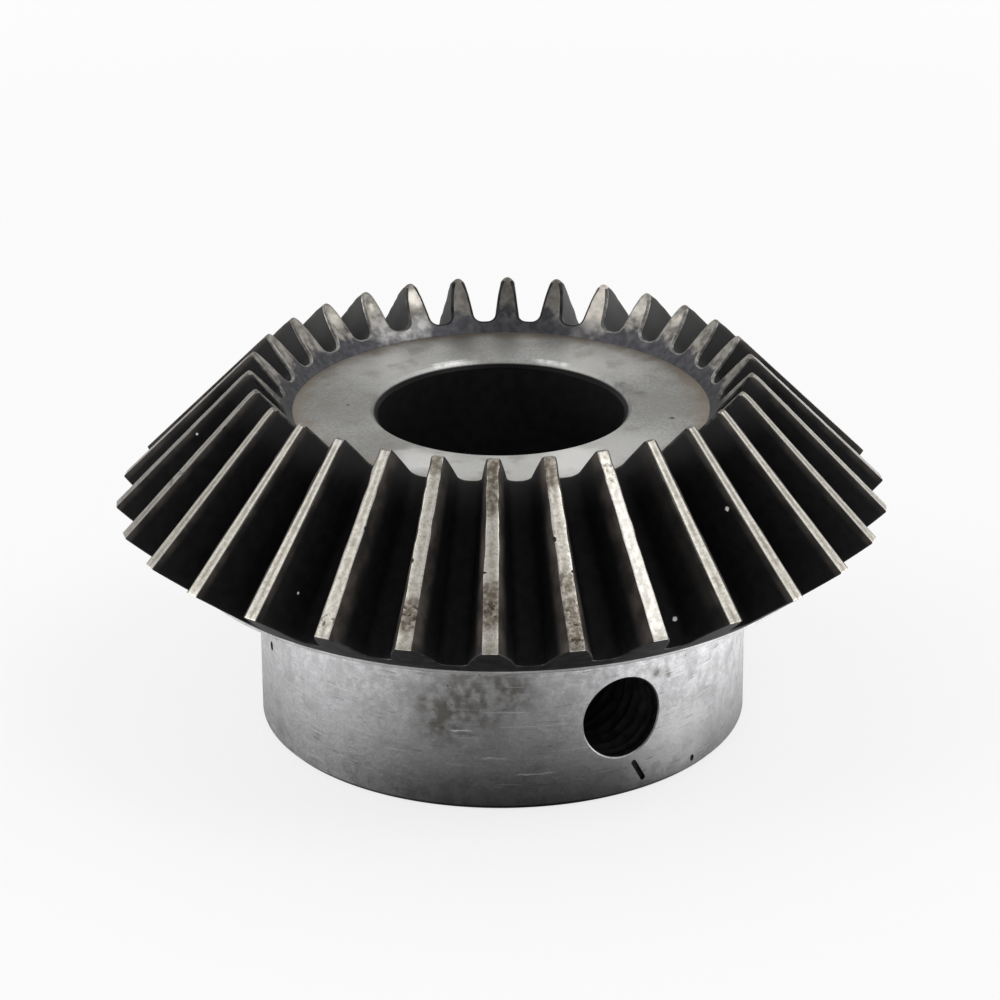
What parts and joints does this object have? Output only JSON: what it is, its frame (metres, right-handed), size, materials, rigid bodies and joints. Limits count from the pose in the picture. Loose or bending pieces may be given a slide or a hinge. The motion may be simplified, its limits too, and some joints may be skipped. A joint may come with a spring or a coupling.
{
  "type": "bevel gear",
  "caption": "Straight bevel gear for shafts at a right angle, with a stepped hub, a plain chamfered through bore and a tapped set-screw hole in the hub.",
  "frame": {"origin": "on the gear axis, in the flat face at the end of the hub", "axes": "+Z along the gear axis, from the hub to the teeth; -Y out through the set-screw hole"},
  "size_m": [0.0628, 0.0626, 0.0303],
  "materials": {
    "steel": "turned satin steel on the hub and the front face, blackened tooth flanks, bright worn tooth tips"
  },
  "bodies": {
    "root": {"bevel_gear": "steel"}
  },
  "joints": []
}
